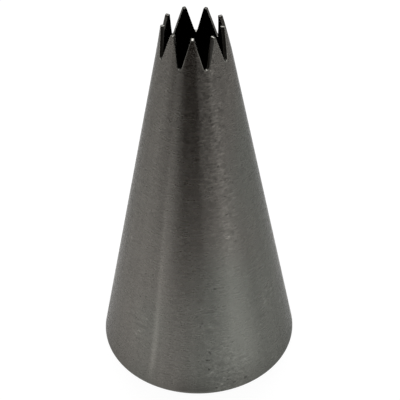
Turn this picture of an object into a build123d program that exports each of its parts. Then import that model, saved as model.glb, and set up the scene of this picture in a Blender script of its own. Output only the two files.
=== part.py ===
"""Open star piping nozzle: one thin cone of stainless sheet with pointed teeth cut round its mouth.

The nozzle stands on its wide base. The origin is the centre of the base, +Z runs up
the axis to the teeth, and one tooth points along -Y, towards the front.
"""
import os
from math import asin, atan, cos, degrees, radians, sin, tan

from build123d import *

# Cone, measured on the outside of the sheet
base_diameter = 30.0
mouth_diameter = 8.45
height = 56.4
wall = 0.5

# The sheet's edge at the base, rounded inside and outside and flat between
base_edge_radius = 0.14

# Star mouth: pointed teeth parted by notches with a narrow rounded root. The widths
# are those on the inner face, and the sides of a notch open outwards by the flare.
tooth_count = 9
notch_depth = 4.35
tip_width = 0.44
root_width = 0.14
flare_angle = 26.0
root_rounding_share = 1.1

# How far the notch cutter reaches past the metal: inwards at the root and at the tips,
# and in the other directions
root_overrun = 0.03
tip_overrun = 0.28
outer_overrun = 0.6

base_radius = base_diameter / 2
mouth_radius = mouth_diameter / 2
lean_angle = atan((base_radius - mouth_radius) / height)
half_pitch = radians(180 / tooth_count)
flare = tan(radians(flare_angle))
# The wall is square to the cone's face, so it measures more along a level line
level_wall = wall / cos(lean_angle)


def outer_radius(z):
    """Radius of the outer face at a height above the base."""
    return base_radius - z * tan(lean_angle)


def inner_radius(z):
    """Radius of the inner face at a height above the base."""
    return outer_radius(z) - level_wall


# The notch cutter works square to the wall, from a plane that touches the inner face along
# the middle of the notch, with Y up the slant of the cone.
inner_face = Plane(
    origin=(0, -inner_radius(0), 0),
    x_dir=(1, 0, 0),
    z_dir=(0, -cos(lean_angle), sin(lean_angle)),
)
root_slant = (height - notch_depth) / cos(lean_angle)
tip_slant = height / cos(lean_angle)
# At the tips the inner face has curved away below the plane, where the cut is narrower
tip_angle = half_pitch - asin(tip_width / 2 / inner_radius(height))
fall = inner_radius(height) * (1 - cos(tip_angle)) * cos(lean_angle)
half_mouth = inner_radius(height) * sin(tip_angle) + flare * fall
half_root = root_width / 2
spread = (half_mouth - half_root) / (tip_slant - root_slant)


def notch_section(root_level, tip_level):
    """Section of the cutter: an open V with a rounded root, on a plane with one level above
    the inner face at the root and another at the tips. A plane that drops towards the tips
    follows the round wall, and there the flare makes its V steeper."""
    climb = (tip_level - root_level) / (tip_slant - root_slant)
    plane = Plane(
        origin=inner_face.from_local_coords((0, root_slant, root_level)),
        x_dir=(1, 0, 0),
        z_dir=inner_face.z_dir.rotate(Axis.X, degrees(atan(climb))),
    )
    root = half_root + flare * root_level
    rise = tip_slant + outer_overrun - root_slant
    top = root + (spread + flare * climb) * rise
    length = rise / cos(atan(climb))
    with BuildSketch(plane) as section:
        with BuildLine():
            Polyline((-root, 0), (root, 0), (top, length), (-top, length), close=True)
        make_face()
        fillet(section.vertices().group_by(Axis.Y)[0], radius=root_rounding_share * root)
    return section.sketch


with BuildPart() as notch_cut:
    outer_level = wall + outer_overrun
    loft([notch_section(-root_overrun, -tip_overrun), notch_section(outer_level, outer_level)],
         ruled=True)

# The cone is the sheet's section turned about the axis, with a notch between each
# tooth and the next
with BuildPart() as nozzle_shell:
    with BuildSketch(Plane.XZ):
        with BuildLine():
            Polyline(
                (outer_radius(0), 0),
                (outer_radius(height), height),
                (inner_radius(height), height),
                (inner_radius(0), 0),
                close=True,
            )
        make_face()
        fillet(vertices().group_by(Axis.Y)[0], radius=base_edge_radius)
    revolve(axis=Axis.Z)
    with PolarLocations(radius=0, count=tooth_count, start_angle=degrees(half_pitch)):
        add(notch_cut.part, mode=Mode.SUBTRACT)
nozzle_shell.part.label = "nozzle_shell"

os.makedirs("parts", exist_ok=True)
export_step(nozzle_shell.part, "parts/nozzle_shell.step")
print(f"nozzle_shell: {nozzle_shell.part.volume:.1f} mm3, "
      f"the cone leans in {degrees(lean_angle):.2f} degrees")
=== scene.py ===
"""Open star piping nozzle of brushed stainless sheet, standing on a white studio table.

Everything is in metres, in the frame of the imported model: the base stands on z = 0, the
axis is +Z and one tooth points along -Y. The nozzle's own sizes are written in
millimetres and scaled once, when its mesh is made.
"""
from math import asin, atan, cos, pi, radians, sin, tan

import bpy
import numpy as np
from mathutils import Matrix, Vector


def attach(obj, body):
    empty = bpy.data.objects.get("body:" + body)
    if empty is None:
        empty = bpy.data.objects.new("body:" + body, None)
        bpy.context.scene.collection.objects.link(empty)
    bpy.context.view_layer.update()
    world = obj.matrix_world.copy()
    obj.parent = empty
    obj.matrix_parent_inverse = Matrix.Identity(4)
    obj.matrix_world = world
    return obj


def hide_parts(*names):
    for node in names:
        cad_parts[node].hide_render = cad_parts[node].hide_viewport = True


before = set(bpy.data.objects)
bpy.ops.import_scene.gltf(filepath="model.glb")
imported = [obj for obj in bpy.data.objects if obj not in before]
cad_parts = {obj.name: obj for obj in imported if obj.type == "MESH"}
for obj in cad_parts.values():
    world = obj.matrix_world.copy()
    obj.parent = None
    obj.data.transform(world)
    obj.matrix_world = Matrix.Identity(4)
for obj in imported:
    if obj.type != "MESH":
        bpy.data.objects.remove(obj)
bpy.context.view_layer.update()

MM = 0.001

# The nozzle, as in the part's source
BASE_RADIUS = 15.0
MOUTH_RADIUS = 4.225
HEIGHT = 56.4
WALL = 0.5
BASE_EDGE = 0.14
TEETH = 9
NOTCH_DEPTH = 4.35
TIP_WIDTH = 0.44
ROOT_WIDTH = 0.14
FLARE = tan(radians(26.0))
ROOT_ROUNDING = 1.1

LEAN = atan((BASE_RADIUS - MOUTH_RADIUS) / HEIGHT)
LEVEL_WALL = WALL / cos(LEAN)
HALF_PITCH = pi / TEETH
INNER_BASE = BASE_RADIUS - LEVEL_WALL
INNER_MOUTH = MOUTH_RADIUS - LEVEL_WALL

# A notch on the flat plane that touches the inner face along the notch's middle: how far
# up the slant its root and its mouth are, the angle to the tooth's tip beside it and how
# far the round face falls away there, half its mouth, and how its sides spread upwards
ROOT_SLANT = (HEIGHT - NOTCH_DEPTH) / cos(LEAN)
TIP_SLANT = HEIGHT / cos(LEAN)
TIP_ANGLE = HALF_PITCH - asin(TIP_WIDTH / 2 / INNER_MOUTH)
FALL = INNER_MOUTH * (1 - cos(TIP_ANGLE)) * cos(LEAN)
HALF_MOUTH = INNER_MOUTH * sin(TIP_ANGLE) + FLARE * FALL
SPREAD = (HALF_MOUTH - ROOT_WIDTH / 2) / (TIP_SLANT - ROOT_SLANT)
SIDE_LEAN = atan(SPREAD)

# Finish of the cut edges, which the part's source leaves sharp
OUTER_ROUND_ROOT = 0.055
OUTER_ROUND_TIP = 0.028
INNER_ROUND = 0.03
TIP_ROUND = 0.06
TIP_HALF_WIDTH = 0.035

# How the teeth of this nozzle stray from the even pattern, from the front one round to the
# right: the tip outwards and downwards, and sloping down outwards by a share of the
# distance from the inner mouth
TIP_OUT = (0.0, 0.10, -0.08, 0.0, 0.04, 0.04, 0.10, 0.14, 0.0)
TIP_DOWN = (0.0, 0.15, 0.05, 0.05, 0.03, 0.0, 0.0, 0.0, 0.0)
TIP_SLOPE = (0.16, 0.14, 0.0, 0.0, 0.0, 0.0, 0.0, 0.0, 0.0)

# How the notches stray, from the one right of the front tooth on: the notch to the right,
# its root downwards, the root sloping down by a share of the distance from the wall's
# middle, and its left and right flanks turned to the right by a share of the distance
# from the inner face
NOTCH_ASIDE = (0.12, 0.0, 0.0, -0.10, -0.06, 0.10, 0.0, 0.0, -0.05)
ROOT_DOWN = (0.03, 0.0, 0.0, 0.0, 0.0, 0.0, 0.0, -0.22, 0.0)
ROOT_SLOPE = (0.42, 0.20, 0.0, 0.0, 0.0, 0.0, 0.0, 0.28, 0.0)
LEFT_FLANK = (0.0, 0.0, 0.0, 0.0, 0.0, 0.0, 0.0, 0.0, 0.34)
RIGHT_FLANK = (0.42, 0.0, 0.0, 0.0, 0.0, 0.0, 0.0, 0.0, 0.0)

# Shares of the pitch over which a flank's turn comes in from the middle of its notch, and
# goes out towards the middle of the tooth
FLANK_IN = 1 / 4
FLANK_OUT = 1 / 8

# Columns in half a notch: along its root, round its corner, up its side, over the tip. A
# column lies on one of these four parts, at a share of the way along it, and the last
# part has one more column, to close it.
COLUMNS = (3, 6, 17, 6)
HALF_COLUMNS = sum(COLUMNS)
SIDE_PART = 2
TIP_PART = 3
PART = np.minimum(np.repeat(range(5), COLUMNS + (1,)), TIP_PART)
SHARE = np.concatenate([np.arange(count) / count for count in COLUMNS] + [[1.0]])

# Rows round each rim of the cut edge, between its rims, down a wall, and round each edge
# of the base, and how much the rows down a wall crowd towards its ends
ROUND_ROWS = 4
CUT_ROWS = 3
WALL_ROWS = 26
BASE_ROWS = 5
CROWDING = 0.9

# Rounds of substitution that settle a point of the cut edge on the round wall
SETTLING_ROUNDS = 12

# Grain of the steel: cycles a metre round the cone and along its axis, octaves, and how
# strong the finer ones are. The streaks go by the direction round the cone instead of by
# metres, so they run up it and draw together towards the mouth.
FINE_GRAIN = (900.0, 5200.0, 2.0, 0.6)
MARK_GRAIN = (620.0, 2600.0, 2.0, 0.6)
GRIT_GRAIN = (2100.0, 4000.0, 1.0, 0.5)
STREAK_GRAIN = (16.0, 22.0, 2.0, 0.5)
PATCH_GRAIN = (170.0, 120.0, 1.0, 0.5)
SPECK_GRAIN = (1300.0, 1700.0, 1.0, 0.5)
DRIFT_GRAIN = (60.0, 30.0, 1.0, 0.5)
INNER_GRAIN = (700.0, 3000.0, 2.0, 0.5)
TEAR_GRAIN = (5200.0, 900.0, 2.0, 0.6)
RIM_GRAIN = (900.0, 900.0, 2.0, 0.5)

# Where the steel is worn: a band on the right, placed by the sine of the angle round the
# cone, so that its mirror lies at the back, and fainter low down. In it more of the
# patches reach the level of worn steel. The specks above a level are its pits, and those
# below one its flecks.
WORN_MIDDLE = 0.36
WORN_SIDES = (0.10, 0.45)
WORN_HEIGHTS = (0.015, 0.045)
WORN_LOW_DOWN = 0.55
WORN_BAND = 0.26
WORN_PATCHES = (0.50, 0.76)
PIT_SPECKS = (0.68, 0.78)
FLECK_SPECKS = (0.67, 0.77)

# How strongly each kind of mark darkens or lightens the steel
FINE_SHADE = 0.12
GRIT_SHADE = 1.9
MARK_SHADE = 0.14
WORN_MARK_SHADE = 0.75
STREAK_SHADE = 0.22
PATCH_SHADE = 0.10
PIT_SHADE = 0.5
FLECK_SHADE = 0.7
INNER_SHADE = 0.2
TEAR_SHADE = 0.5
RIM_SHADE = 0.8

# Colours of the steel. The outer face drifts between the first two, the second more to
# the right.
WARM_STEEL = (0.125, 0.118, 0.107, 1)
COOL_STEEL = (0.118, 0.120, 0.108, 1)
DRIFT_STEP = (0.38, 0.62)
DRIFT_TO_RIGHT = 0.05
# The plain steel is the cut edge's own duller colour, and on the inner face it is also painted
# shade for the shaded inside of the cone
DULL_AND_SHADED_STEEL = (0.10, 0.098, 0.09)
# The bright steel is a painted highlight along the rounded outer rim of the cut
HIGHLIGHT_STEEL = (0.28, 0.275, 0.25)

# Gloss of the steel, and how its marks stand out as relief
SPECULAR_TINT = 0.56
BRUSHED_ROUGHNESS = 0.27
MARK_ROUGHNESS = 0.08
PIT_ROUGHNESS = 0.12
INNER_ROUGHNESS = 0.18
CUT_ROUGHNESS = 0.14
TEAR_ROUGHNESS = 0.1
RIM_ROUGHNESS = 0.16
BRUSHING = 0.93
QUARTER_TURN = 0.25
BUMP_DEPTH = 0.00002
BRUSHED_BUMP = 0.12
CUT_BUMP = 0.15
FINE_RELIEF = 0.3
MARK_RELIEF = 0.6
GRIT_RELIEF = 0.8
PIT_RELIEF = 1.2

# The table: half its width, the ring under the nozzle's edge where it turns dark as a
# painted shadow inside the cone, its paint, how white it is seen, and how much of the
# seen table is that plain white
TABLE_HALF_WIDTH = 3.0
FOOT_RING = (0.0146, 0.0150)
TABLE_PAINT = (0.85, 0.85, 0.85, 1)
TABLE_WHITE = 1.07
TABLE_GLOW = 0.85

# The studio as the nozzle reflects it. Angles are round the nozzle from the camera's
# side, positive to the right, in degrees, and distances from its axis are in metres. A
# pair is where a soft edge starts and where it ends.
# The table's reflection holds painted light and shade: brighter near the nozzle than far,
# lighter to the left as painted light from that side, and a painted contact shadow at the
# nozzle's foot
TABLE_NEAR = 1.39
TABLE_FAR = 0.785
TABLE_SIDE = 0.07
TABLE_FADE = (0.01, 0.225)
FOOT_SHADOW_FADE = (0.0145, 0.024)
FOOT_SHADOW_DEPTH = 0.2
# The contact sector is a painted contact shadow at the nozzle's foot, as the steel reflects it
CONTACT_LEFT = (-18, -10)
CONTACT_RIGHT = (4, 11)
CONTACT_FADE = (0.0135, 0.025)
CONTACT_DEPTH = 0.36
DARK_LEFT = (-43.2, -21.2)
DARK_RIGHT = (3.8, 13)
DARK_FADE = (0.051, 0.090)
SHADE_LEFT = (-82.0, -50.0)
SHADE_LEFT_FADE = (0.112, 0.118)
SHADE_LEFT_DEPTH = 0.64
SHADE_RIGHT = (33, 47)
SHADE_RIGHT_FADE = (0.066, 0.089)
SHADE_RIGHT_DEPTH = 0.67
ROOM_HEIGHT_FADE = (0.25, 0.60)
# On the low card in front, this dark colour is partly a painted shadow of the nozzle on the
# table
DARK_FLOOR = (0.07, 0.045, 0.03, 1)
DARK_WALL = (1.0, 0.96, 0.90, 1)
WALL_GLOW = 0.06

# The cards that carry the dark room and its painted shadow, one just above the table and one
# upright in front
LOW_CARD_HALF_WIDTH = 0.5
LOW_CARD_HEIGHT = 0.0004
TALL_CARD_HALF_WIDTH = 0.4
TALL_CARD_FRONT = 0.2
TALL_CARD_TOP = 0.6

# The upright cards at both sides of the table: how far out they stand, where they start
# and end from front to back and from low to high, and their dark band
SIDE_CARD_OUT = 0.3
SIDE_CARD_ENDS = (-0.3, 0.1)
SIDE_CARD_HEIGHTS = (0.01, 0.15)
SIDE_BAND_STARTS = (0.02, 0.05)
SIDE_BAND_ENDS = (0.10, 0.14)

# The brighter strips of the table, painted pools of light seen only in reflections: the
# name and height of each one's card, the angle of its middle and half its width, how far
# it is shifted aside, its brightness, and where it fades away. Both start at the nozzle's
# foot, and half of the table shows through them.
STRIPS = (
    ("left_painted_light", 0.0008, -53.5, 2.8, 0.0056, 3.7, (0.09, 0.15)),
    ("right_painted_light", 0.0012, 44.3, 29.0, -0.0034, 2.56, (0.03, 0.14)),
)
STRIP_START = (0.0145, 0.026)
STRIP_COVER = 0.5
STRIP_CARD_HALF_WIDTH = 0.25

# The softbox, whose brightness counts white as 1, and the even light of the room
LAMP_SIZE = 0.26
LAMP_BRIGHTNESS = 9.0
LAMP_RISE = radians(58)
LAMP_DISTANCE = 0.72
ROOM_LIGHT = 0.7

# The camera, from a fit to the nozzle's outline and its teeth: its turn round the axis,
# its tilt down and its roll, its place along its own axes in millimetres, and its focal
# length in pixels of the photograph
VIEW_TURN = radians(2.9)
VIEW_TILT = radians(40.469)
VIEW_ROLL = radians(-0.921)
VIEW_DISTANCE = 197.63
VIEW_RIGHT = 0.472
VIEW_UP = 19.658
FOCAL_PIXELS = 1229.04
PHOTOGRAPH_WIDTH = 400
SENSOR_WIDTH = 36
CLIP_START = 0.01


def notch_outline(level, inset):
    """Half of a notch's outline on the plane at a level above the inner face: a flat root,
    an arc round the corner, a straight side, and over the tooth's tip a quadratic curve
    that ends level at the tooth's middle plane. An inset moves it into the metal as a
    parallel line. One point a column: the distance sideways and the height up the slant."""
    half_root = ROOT_WIDTH / 2 + FLARE * level
    rounding = ROOT_ROUNDING * half_root
    turn = pi / 2 - SIDE_LEAN
    centre = half_root - rounding * tan(turn / 2)
    reach = rounding + inset
    # The side starts where the arc ends, and the gap to the tooth's middle plane closes
    side_start = centre + reach * cos(SIDE_LEAN)
    slant_start = ROOT_SLANT + rounding - reach * sin(SIDE_LEAN)
    middle = (INNER_BASE + level * cos(LEAN) - slant_start * sin(LEAN)) * tan(HALF_PITCH)
    closing = SPREAD + sin(LEAN) * tan(HALF_PITCH)
    blunt = slant_start + (middle - side_start - TIP_HALF_WIDTH) / closing
    top = np.minimum((HEIGHT - level * sin(LEAN)) / cos(LEAN) - inset, blunt)
    rise = top - slant_start
    straight = rise - TIP_ROUND * cos(SIDE_LEAN)
    knee = side_start + rise * SPREAD
    last = middle - rise * sin(LEAN) * tan(HALF_PITCH)
    near, over = (1 - SHARE) ** 2, 2 * SHARE * (1 - SHARE)
    side = np.choose(PART, [
        centre * SHARE,
        centre + reach * np.sin(SHARE * turn),
        side_start + SHARE * straight * SPREAD,
        near * (side_start + straight * SPREAD) + over * knee + SHARE ** 2 * last,
    ])
    slant = np.choose(PART, [
        ROOT_SLANT - inset,
        ROOT_SLANT + rounding - reach * np.cos(SHARE * turn),
        slant_start + SHARE * straight,
        near * (slant_start + straight) + (1 - near) * top,
    ])
    return side, slant


def cut_point(depth, inset):
    """Points of the cut edge at a depth in the wall, 0 on the inner face and WALL on the
    outer. The level above the flat plane that gives this depth on the round wall is found
    by repeated substitution. Gives the angle from the notch's middle, the distance from
    the axis and the height."""
    level = depth
    for _ in range(SETTLING_ROUNDS):
        side, slant = notch_outline(level, inset)
        ahead = INNER_BASE + level * cos(LEAN) - slant * sin(LEAN)
        radius = np.hypot(side, ahead)
        level = depth - (radius - ahead) * cos(LEAN)
    return np.arctan2(side, ahead), radius, slant * cos(LEAN) + level * sin(LEAN)


def rounded_edges():
    """Rows across the cut edge from the inner face to the outer: a quarter circle, the flat
    cut, and a wider quarter circle that narrows towards the tooth's tip with the square of
    the way up the side. Gives the depth in the wall and the inset from the sharp outline,
    rows by columns."""
    towards_tip = np.where(PART == SIDE_PART, SHARE, PART == TIP_PART)
    outer = OUTER_ROUND_ROOT + (OUTER_ROUND_TIP - OUTER_ROUND_ROOT) * towards_tip ** 2
    bend = np.linspace(0, pi / 2, ROUND_ROWS + 1)[:, None]
    flat = np.linspace(0, 1, CUT_ROWS + 2)[1:-1, None]
    one = np.ones(HALF_COLUMNS + 1)
    first, last = INNER_ROUND, WALL - outer
    depth = np.concatenate([
        INNER_ROUND * (1 - np.cos(bend)) * one,
        first + (last - first) * flat,
        last + outer * np.sin(bend),
    ])
    inset = np.concatenate([
        INNER_ROUND * (1 - np.sin(bend)) * one,
        np.zeros((CUT_ROWS, HALF_COLUMNS + 1)),
        outer * (1 - np.cos(bend)),
    ])
    return depth, inset


def base_edge():
    """Section of the sheet's edge at the base, from the outer face to the inner: an arc, a
    flat that stands on the table, and an arc. Gives the distance from the axis and the
    height."""
    outer_tangent = BASE_EDGE / tan(pi / 4 - LEAN / 2)
    inner_tangent = BASE_EDGE / tan(pi / 4 + LEAN / 2)
    outer = np.linspace(LEAN, -pi / 2, BASE_ROWS + 1)
    inner = np.linspace(-pi / 2, LEAN - pi, BASE_ROWS + 1)
    radius = np.concatenate([BASE_RADIUS - outer_tangent + BASE_EDGE * np.cos(outer),
                             INNER_BASE + inner_tangent + BASE_EDGE * np.cos(inner)])
    height = BASE_EDGE * (1 + np.sin(np.concatenate([outer, inner])))
    return radius, height


def stray(angle, radius, height):
    """Moves points of the even pattern to where the real teeth and notches stand. A tip's
    shift grows with the square of the height above the roots, and its slope with the
    fourth power. A root's shift and slope are whole at the middle of its notch and fade
    up the teeth beside it. The shift aside goes straight from one notch's to the next
    one's, and a flank's turn adds to it by the distance from the inner face. What moves a
    notch fades out over one notch's depth below its root."""
    pitch = 2 * HALF_PITCH
    tooth = np.round(angle / pitch).astype(int) % TEETH
    notch = np.floor(angle / pitch).astype(int) % TEETH
    off = angle / pitch - np.floor(angle / pitch) - 0.5
    rise = np.clip((height - HEIGHT) / NOTCH_DEPTH + 1, 0, 1) ** 2
    fade = np.clip((height - HEIGHT) / NOTCH_DEPTH + 2, 0, 1)
    below_tip = (1 - rise) * fade
    middle = 1 - 2 * np.abs(off)
    near_root = (1 - (1 - middle) ** 2) * below_tip
    outside = np.maximum(radius + height * tan(LEAN) - INNER_BASE, 0)
    outer_half = np.maximum(outside - LEVEL_WALL / 2, 0)
    down = (np.array(TIP_DOWN)[tooth] * rise
            + np.array(TIP_SLOPE)[tooth] * rise ** 2 * np.maximum(radius - INNER_MOUTH, 0)
            + np.array(ROOT_DOWN)[notch] * middle * below_tip
            + np.array(ROOT_SLOPE)[notch] * near_root * outer_half)
    centres = (np.arange(-1, TEETH + 1) + 0.5) * pitch
    aside = np.interp(angle % (2 * pi), centres,
                      np.take(NOTCH_ASIDE, range(-1, TEETH + 1), mode="wrap"))
    on_flank = (np.clip(np.abs(off) / FLANK_IN, 0, 1)
                * np.clip((0.5 - np.abs(off)) / FLANK_OUT, 0, 1))
    turned = np.where(off < 0, np.array(LEFT_FLANK)[notch], np.array(RIGHT_FLANK)[notch])
    aside = aside + turned * on_flank * outside
    outwards = np.array(TIP_OUT)[tooth] * rise
    return angle + aside * fade / radius, radius + outwards, height - down


def nozzle_surface():
    """The whole sheet as one closed grid of points, rows by columns. Rows run across the cut
    edge of the mouth, down the outer face, round the base's edge and up the inner face.
    Columns start on the notches' outlines and spread evenly round the base."""
    depth, inset = rounded_edges()
    angle, radius, height = cut_point(depth, inset)
    even = HALF_PITCH * np.arange(HALF_COLUMNS + 1) / HALF_COLUMNS
    base_radius, base_height = base_edge()
    # Shares of the way down a wall, closer together next to its ends
    way = np.linspace(0, 1, WALL_ROWS + 2)[1:-1, None]
    way = CROWDING * way ** 2 * (3 - 2 * way) + (1 - CROWDING) * way
    down = height[-1] + (base_height[0] - height[-1]) * way
    up = base_height[-1] + (height[0] - base_height[-1]) * way
    outer_angle = even + (angle[-1] - even) * (down / height[-1])
    inner_angle = even + (angle[0] - even) * (up / height[0])
    one = np.ones(HALF_COLUMNS + 1)
    angle = np.concatenate([angle, outer_angle, np.tile(even, (len(base_radius), 1)),
                            inner_angle])
    radius = np.concatenate([radius, BASE_RADIUS - down * tan(LEAN),
                             base_radius[:, None] * one, INNER_BASE - up * tan(LEAN)])
    height = np.concatenate([height, down, base_height[:, None] * one, up])
    # Each notch is its half and the mirror of it, and the pattern repeats round the axis
    mirror = np.arange(HALF_COLUMNS - 1, 0, -1)
    angle = np.concatenate([-angle[:, mirror], angle], 1)
    radius = np.concatenate([radius[:, mirror], radius], 1)
    height = np.concatenate([height[:, mirror], height], 1)
    turn = HALF_PITCH * (2 * np.arange(TEETH) + 1)
    angle = (angle[:, None, :] + turn[None, :, None]).reshape(len(angle), -1)
    radius = np.tile(radius, TEETH)
    height = np.tile(height, TEETH)
    angle, radius, height = stray(angle, radius, height)
    return np.stack([radius * np.sin(angle), -radius * np.cos(angle), height], -1)


def grid_mesh(name, points, materials):
    """A mesh of quads on a grid of points that closes on itself both ways: each quad joins a
    point, the next one in its row, and the two below them in the next row."""
    rows, columns = points.shape[:2]
    index = np.arange(rows * columns).reshape(rows, columns)
    below = np.roll(index, -1, 0)
    beside = np.roll(index, -1, 1)
    across = np.roll(below, -1, 1)
    faces = np.stack([index, beside, across, below], -1).reshape(-1, 4)
    mesh = bpy.data.meshes.new(name)
    mesh.from_pydata(points.reshape(-1, 3) * MM, [], faces)
    for material in materials:
        mesh.materials.append(material)
    mesh.polygons.foreach_set("use_smooth", np.ones(len(faces), bool))
    piece = bpy.data.objects.new(name, mesh)
    bpy.context.scene.collection.objects.link(piece)
    return piece


class Term:
    """An output of a shader tree. Arithmetic on terms and numbers adds Math nodes."""

    def __init__(self, tree, socket=None):
        self.tree = tree
        self.socket = socket

    def node(self, kind, settings=None, inputs=None, output=0):
        """Adds a node: its type, its settings, and the values or links of its sockets."""
        made = self.tree.nodes.new(kind)
        for name, value in (settings or {}).items():
            setattr(made, name, value)
        for name, value in (inputs or {}).items():
            if isinstance(value, Term):
                self.tree.links.new(value.socket, made.inputs[name])
            else:
                made.inputs[name].default_value = value
        return Term(self.tree, made.outputs[output] if made.outputs else None)

    def maths(self, operation, *others):
        """A Math node on this term and the others."""
        return self.node("ShaderNodeMath", {"operation": operation},
                         dict(enumerate((self,) + others)))

    def __add__(self, other):
        return self.maths("ADD", other)

    __radd__ = __add__

    def __mul__(self, other):
        return self.maths("MULTIPLY", other)

    __rmul__ = __mul__

    def __sub__(self, other):
        return self.maths("SUBTRACT", other)

    def __rsub__(self, other):
        return self.maths("MULTIPLY_ADD", -1.0, other)

    def __truediv__(self, other):
        return self.maths("DIVIDE", other)

    def __rtruediv__(self, other):
        return self.node("ShaderNodeMath", {"operation": "DIVIDE"}, {0: other, 1: self})

    def __pow__(self, other):
        return self.maths("POWER", other)

    def __neg__(self):
        return self.maths("MULTIPLY", -1.0)

    def __abs__(self):
        return self.maths("ABSOLUTE")

    def smooth(self, low, high):
        """0 up to low, 1 from high, and a smooth step between."""
        inputs = {0: self, 1: low, 2: high, 3: 0.0, 4: 1.0}
        return self.node("ShaderNodeMapRange", {"interpolation_type": "SMOOTHSTEP"}, inputs)

    def blend(self, first, second):
        """Colour first where this is 0, colour second where it is 1."""
        return self.node("ShaderNodeMix", {"data_type": "RGBA"},
                         {0: self, 6: first, 7: second}, 2)

    def scale(self, colour):
        """A colour scaled by this."""
        return self.node("ShaderNodeVectorMath", {"operation": "SCALE"}, {0: colour, 3: self})

    def cover(self, under, over):
        """Shader under where this is 0, shader over where it is 1."""
        return self.node("ShaderNodeMixShader", inputs={0: self, 1: under, 2: over})


def material_of(name):
    """An empty material, and the term from which its nodes are added."""
    material = bpy.data.materials.new(name)
    material.use_nodes = True
    material.node_tree.nodes.clear()
    return material, Term(material.node_tree)


def surface_point(term):
    """Object coordinates of a surface point as three terms, in metres."""
    where = term.node("ShaderNodeTexCoord", output=3)
    split = term.node("ShaderNodeSeparateXYZ", inputs={0: where}).socket.node
    return [Term(term.tree, socket) for socket in split.outputs]


def from_axis(x, y):
    """Distance from the nozzle's axis: the square root of x squared plus y squared."""
    return (x * x + y * y) ** 0.5


def ray_kinds(term, *kinds):
    """Terms that are each 1 for one kind of ray and 0 for the rest."""
    path = term.node("ShaderNodeLightPath").socket.node
    return [Term(term.tree, path.outputs[f"Is {kind} Ray"]) for kind in kinds]


def seen_rays(term):
    """1 for camera, glossy and transmission rays, and 0 for the rest."""
    camera, glossy, clear = ray_kinds(term, "Camera", "Glossy", "Transmission")
    return camera.maths("MAXIMUM", glossy).maths("MAXIMUM", clear)


def grain(x, y, z, pattern):
    """Noise on a point, with the pattern's frequencies round the cone and along its axis."""
    across, along, octaves, finer = pattern
    point = x.node("ShaderNodeCombineXYZ", inputs={0: x * across, 1: y * across, 2: z * along})
    return x.node("ShaderNodeTexNoise", {"noise_dimensions": "3D"}, {
        "Vector": point, "Scale": 1.0, "Detail": octaves, "Roughness": finer})


def vary(noise, strength):
    """Noise about its mean of a half, times a strength."""
    return (noise - 0.5) * strength


def relief(height, strength):
    """A bump from a height, on the scale of the steel's marks."""
    return height.node("ShaderNodeBump", inputs={
        "Strength": strength, "Distance": BUMP_DEPTH, "Height": height})


def bare_steel(term, inputs):
    """Closes a material as bare steel, whose reflections at a grazing angle stay tinted."""
    shader = term.node("ShaderNodeBsdfPrincipled", inputs={
        "Metallic": 1.0, "Specular Tint": (SPECULAR_TINT,) * 3 + (1,), **inputs})
    term.node("ShaderNodeOutputMaterial", inputs={"Surface": shader})


def wear(side, height, patches):
    """How rubbed the steel is, and how worn. The rubbing is 1 along the worn band, fades to
    both its sides and is fainter low down. The patches, raised by it, are worn above a level."""
    rubbed = 1 - abs(side - WORN_MIDDLE).smooth(*WORN_SIDES)
    rubbed = rubbed * (WORN_LOW_DOWN + (1 - WORN_LOW_DOWN) * height.smooth(*WORN_HEIGHTS))
    return rubbed, (patches + rubbed * WORN_BAND).smooth(*WORN_PATCHES)


def brushed_steel():
    """Stainless sheet finished round the cone: marks too fine to see, round it, spread its
    reflections along it. Faint short marks, streaks up the cone, pits and light flecks in
    patches, grit in the worn band, and a slow drift of tint lie over that. The shade is 1
    plus each kind's noise about its mean, times its strength."""
    material, term = material_of("brushed_stainless")
    x, y, z = surface_point(term)
    away = from_axis(x, y)
    side = x / away
    fine = grain(x, y, z, FINE_GRAIN)
    marks = grain(x, y, z, MARK_GRAIN)
    grit = grain(x, y, z, GRIT_GRAIN)
    streaks = grain(side, y / away, z, STREAK_GRAIN)
    patches = grain(x, y, z, PATCH_GRAIN)
    specks = grain(x, y, z, SPECK_GRAIN)
    drift = grain(x, y, z, DRIFT_GRAIN)
    rubbed, worn = wear(side, z, patches)
    pits = specks.smooth(*PIT_SPECKS) * worn
    flecks = (1 - specks).smooth(*FLECK_SPECKS) * worn
    shade = (1 + vary(fine, FINE_SHADE) + vary(grit, GRIT_SHADE * worn * rubbed)
             + vary(marks, MARK_SHADE + WORN_MARK_SHADE * worn)
             + vary(streaks, STREAK_SHADE) + vary(patches, PATCH_SHADE)
             - pits * PIT_SHADE + flecks * FLECK_SHADE)
    tint = (drift + side * DRIFT_TO_RIGHT).smooth(*DRIFT_STEP).blend(WARM_STEEL, COOL_STEEL)
    heights = (fine * FINE_RELIEF + marks * MARK_RELIEF + grit * rubbed * GRIT_RELIEF
               - pits * PIT_RELIEF)
    bare_steel(term, {
        "Base Color": shade.scale(tint),
        "Roughness": BRUSHED_ROUGHNESS + vary(marks, MARK_ROUGHNESS) + pits * PIT_ROUGHNESS,
        "Normal": relief(heights, BRUSHED_BUMP),
        "Anisotropic": BRUSHING,
        "Anisotropic Rotation": QUARTER_TURN,
    })
    return material


def cut_steel():
    """Edge of the sheet as the press cut it: smooth, with fine marks across the wall."""
    material, term = material_of("cut_edge")
    tears = grain(*surface_point(term), TEAR_GRAIN)
    bare_steel(term, {
        "Base Color": (1 + vary(tears, TEAR_SHADE)).scale(DULL_AND_SHADED_STEEL),
        "Roughness": CUT_ROUGHNESS + tears * TEAR_ROUGHNESS,
        "Normal": relief(tears, CUT_BUMP),
    })
    return material


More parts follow.
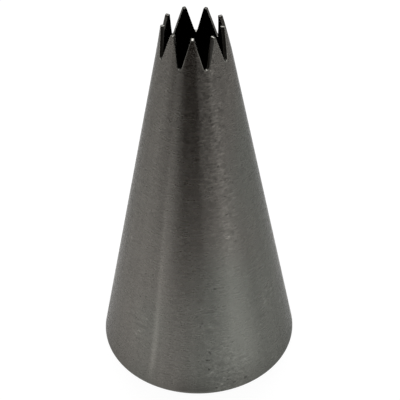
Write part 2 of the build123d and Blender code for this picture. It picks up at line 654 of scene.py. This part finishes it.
def plain_steel(name, pattern, strength, colour, roughness):
    """Steel of one colour, shaded by one pattern of grain."""
    material, term = material_of(name)
    shade = 1 + vary(grain(*surface_point(term), pattern), strength)
    bare_steel(term, {"Base Color": shade.scale(colour), "Roughness": roughness})
    return material


def inner_steel():
    """The cone's inside, smoother than the outside and painted darker than it, as painted shade
    for the shaded inside it faces.
    """
    return plain_steel("inner_face", INNER_GRAIN, INNER_SHADE, DULL_AND_SHADED_STEEL, INNER_ROUGHNESS)


def rim_steel():
    """The rounded outer rim of the cut, painted bright as a highlight along the teeth's edges.
    """
    return plain_steel("painted_highlight_rim", RIM_GRAIN, RIM_SHADE, HIGHLIGHT_STEEL, RIM_ROUGHNESS)


def dressed_nozzle():
    """The nozzle's surface, with a finish for each band of its rows: the cut edge, its outer
    rim, the outer face, the base's edge and the inner face."""
    points = nozzle_surface()
    finishes = [brushed_steel(), cut_steel(), inner_steel(), rim_steel()]
    outer, cut, inner, rim = range(len(finishes))
    bands = np.repeat([cut, rim, outer, cut, inner],
                      [ROUND_ROWS + CUT_ROWS + 1, ROUND_ROWS, WALL_ROWS + 1,
                       2 * BASE_ROWS + 1, WALL_ROWS + 1])
    piece = grid_mesh("nozzle", points, finishes)
    piece.data.polygons.foreach_set("material_index",
                                    np.repeat(bands.astype(np.int32), points.shape[1]))
    piece.data.update()
    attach(piece, "root")
    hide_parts("nozzle_shell")


def level_card(half_width, height):
    """Corners of a level square round the nozzle's axis."""
    return [(x * half_width, y * half_width, height)
            for x, y in ((-1, -1), (1, -1), (1, 1), (-1, 1))]


def upright_card(start, end, low, high):
    """Corners of an upright card between two places on the floor and between two heights."""
    return [(*start, low), (*end, low), (*end, high), (*start, high)]


def plane(name, corners, material):
    """A flat piece of the studio: one face on its corners."""
    mesh = bpy.data.meshes.new(name)
    mesh.from_pydata(corners, [], [range(len(corners))])
    mesh.materials.append(material)
    card = bpy.data.objects.new(name, mesh)
    bpy.context.scene.collection.objects.link(card)
    return card


def only_in_reflections(card):
    """Leaves a card visible to glossy rays alone."""
    card.visible_camera = False
    card.visible_diffuse = False
    card.visible_transmission = False
    card.visible_shadow = False
    card.visible_volume_scatter = False


def reflected_card(name, corners, shown, colour, brightness=1.0):
    """A card seen only in reflections. It gives off a colour as far as it is shown, and is
    clear for the rest. How far is a function of the angle round the nozzle, 0 towards the
    camera and positive to the right, of the distance from the axis and of the height."""
    material, term = material_of(name)
    x, y, z = surface_point(term)
    angle = x.maths("ARCTAN2", -y) - VIEW_TURN
    clear = term.node("ShaderNodeBsdfTransparent")
    glow = term.node("ShaderNodeEmission", inputs={"Color": colour, "Strength": brightness})
    both = shown(angle, from_axis(x, y), z).cover(clear, glow)
    term.node("ShaderNodeOutputMaterial", inputs={"Surface": both})
    only_in_reflections(plane(name, corners, material))


def table_top():
    """White table: seen and reflected mostly as plain white, and lit for the rest, so that
    the object's shadow stays. It is painted dark where the nozzle covers it, a painted
    shadow inside the cone. Its reflection carries painted light and shade: it goes from
    near to far with the distance, brighter near the nozzle, is dimmer to the right by the
    sine of the angle as painted light from the left, and is dimmer at the nozzle's foot
    as a painted contact shadow."""
    material, term = material_of("white_table")
    x, y, _ = surface_point(term)
    away = from_axis(x, y)
    reflected = TABLE_NEAR + away.smooth(*TABLE_FADE) * (TABLE_FAR - TABLE_NEAR)
    reflected = reflected * (1 - x / away * TABLE_SIDE)
    reflected = reflected * (1 - (1 - away.smooth(*FOOT_SHADOW_FADE)) * FOOT_SHADOW_DEPTH)
    glossy = ray_kinds(term, "Glossy")[0]
    strength = away.smooth(*FOOT_RING) * (TABLE_WHITE + glossy * (reflected - TABLE_WHITE))
    glow = term.node("ShaderNodeEmission",
                     inputs={"Color": strength.scale((1, 1, 1)), "Strength": 1.0})
    paint = term.node("ShaderNodeBsdfDiffuse", inputs={"Color": TABLE_PAINT})
    both = (seen_rays(term) * TABLE_GLOW).cover(paint, glow)
    term.node("ShaderNodeOutputMaterial", inputs={"Surface": both})
    plane("table", level_card(TABLE_HALF_WIDTH, 0), material)


def between(angle, left, right):
    """1 between two soft edges, each given by the angles where it starts and ends."""
    rising = angle.smooth(*map(radians, left))
    falling = angle.smooth(*map(radians, right))
    return rising * (1 - falling)


def dark_room():
    """The darker part of the room in front of the table and to its sides, partly a painted
    shadow of the nozzle on the table in front, with a painted contact shadow at the nozzle's
    foot.
    """
    def dark(angle, away, height):
        """Four sectors, each between two angles and from or up to a distance, added up and
        faded out with the height."""
        # The middle sector is partly a painted shadow of the nozzle on the table in front
        middle = between(angle, DARK_LEFT, DARK_RIGHT) * away.smooth(*DARK_FADE)
        left = (between(angle, SHADE_LEFT, DARK_LEFT) * away.smooth(*SHADE_LEFT_FADE)
                * SHADE_LEFT_DEPTH)
        right = (between(angle, DARK_RIGHT, SHADE_RIGHT) * away.smooth(*SHADE_RIGHT_FADE)
                 * SHADE_RIGHT_DEPTH)
        # A painted contact shadow in front of the nozzle's foot
        contact_shadow = (between(angle, CONTACT_LEFT, CONTACT_RIGHT)
                   * (1 - away.smooth(*CONTACT_FADE)) * CONTACT_DEPTH)
        return (middle + left + right + contact_shadow) * (1 - height.smooth(*ROOM_HEIGHT_FADE))

    low = level_card(LOW_CARD_HALF_WIDTH, LOW_CARD_HEIGHT)
    reflected_card("dark_low_card", low, dark, DARK_FLOOR)
    tall = upright_card((-TALL_CARD_HALF_WIDTH, -TALL_CARD_FRONT),
                        (TALL_CARD_HALF_WIDTH, -TALL_CARD_FRONT), 0, TALL_CARD_TOP)
    reflected_card("dark_tall_card", tall, dark, DARK_WALL, WALL_GLOW)


def dark_sides():
    """The dark ends of the table, low on both sides of the nozzle."""
    def band(angle, away, height):
        """1 between two soft edges, each given by the heights where it starts and ends."""
        return height.smooth(*SIDE_BAND_STARTS) * (1 - height.smooth(*SIDE_BAND_ENDS))

    front, back = SIDE_CARD_ENDS
    for x in (-SIDE_CARD_OUT, SIDE_CARD_OUT):
        corners = upright_card((x, front), (x, back), *SIDE_CARD_HEIGHTS)
        reflected_card("dark_side", corners, band, DARK_FLOOR)


def light_streaks():
    """Painted pools of light on the table, seen only in reflections, in strips to the left and
    the right of the nozzle.
    """
    for name, level, middle, half_width, aside, brightness, fade in STRIPS:
        def strip(angle, away, height):
            """A soft strip about an angle, turned by its shift aside over the distance. It
            starts at the nozzle's foot and fades with the distance."""
            off = abs(angle - radians(middle) - aside / away)
            along = away.smooth(*STRIP_START) * (1 - away.smooth(*fade))
            return (1 - off.smooth(0.0, radians(half_width))) * along * STRIP_COVER

        corners = level_card(STRIP_CARD_HALF_WIDTH, level)
        reflected_card(name, corners, strip, (1, 1, 1, 1), brightness)


def soft_light():
    """A softbox behind the nozzle and above it, facing the middle of the nozzle's base."""
    lamp = bpy.data.lights.new("softbox", "AREA")
    lamp.shape = "SQUARE"
    lamp.size = LAMP_SIZE
    lamp.energy = LAMP_BRIGHTNESS * pi * LAMP_SIZE ** 2
    softbox = bpy.data.objects.new("softbox", lamp)
    bpy.context.scene.collection.objects.link(softbox)
    level = cos(LAMP_RISE)
    softbox.location = LAMP_DISTANCE * Vector((-sin(VIEW_TURN) * level,
                                               cos(VIEW_TURN) * level, sin(LAMP_RISE)))
    softbox.rotation_euler = softbox.location.to_track_quat("Z", "Y").to_euler()
    softbox.visible_camera = False


def white_surroundings():
    """Plain white where it is seen or reflected, and an even light for everything else."""
    world = bpy.data.worlds.new("white_studio")
    bpy.context.scene.world = world
    world.use_nodes = True
    world.node_tree.nodes.clear()
    term = Term(world.node_tree)
    strength = ROOM_LIGHT + seen_rays(term) * (1 - ROOM_LIGHT)
    sky = term.node("ShaderNodeBackground",
                    inputs={"Color": strength.scale((1, 1, 1)), "Strength": 1.0})
    term.node("ShaderNodeOutputWorld", inputs={"Surface": sky})


def photograph_camera():
    """The camera at the photograph's viewing angle: its axes are tilted down and rolled, its
    place is measured along the tilted axes, and both are turned round the nozzle's axis."""
    right = Vector((1, 0, 0))
    up = Vector((0, sin(VIEW_TILT), cos(VIEW_TILT)))
    back = Vector((0, -cos(VIEW_TILT), sin(VIEW_TILT)))
    stand = (back * VIEW_DISTANCE + right * VIEW_RIGHT + up * VIEW_UP) * MM
    axes = Matrix((right * cos(VIEW_ROLL) + up * sin(VIEW_ROLL),
                   up * cos(VIEW_ROLL) - right * sin(VIEW_ROLL), back)).transposed()
    lens = bpy.data.cameras.new("camera")
    lens.sensor_width = SENSOR_WIDTH
    lens.lens = FOCAL_PIXELS / PHOTOGRAPH_WIDTH * SENSOR_WIDTH
    lens.clip_start = CLIP_START
    camera = bpy.data.objects.new("camera", lens)
    turn = Matrix.Rotation(VIEW_TURN, 4, "Z")
    camera.matrix_world = turn @ Matrix.Translation(stand) @ axes.to_4x4()
    bpy.context.scene.collection.objects.link(camera)
    bpy.context.scene.camera = camera


photograph_camera()
dressed_nozzle()
table_top()
dark_room()
dark_sides()
light_streaks()
soft_light()
white_surroundings()
bpy.context.scene.view_settings.view_transform = "Standard"
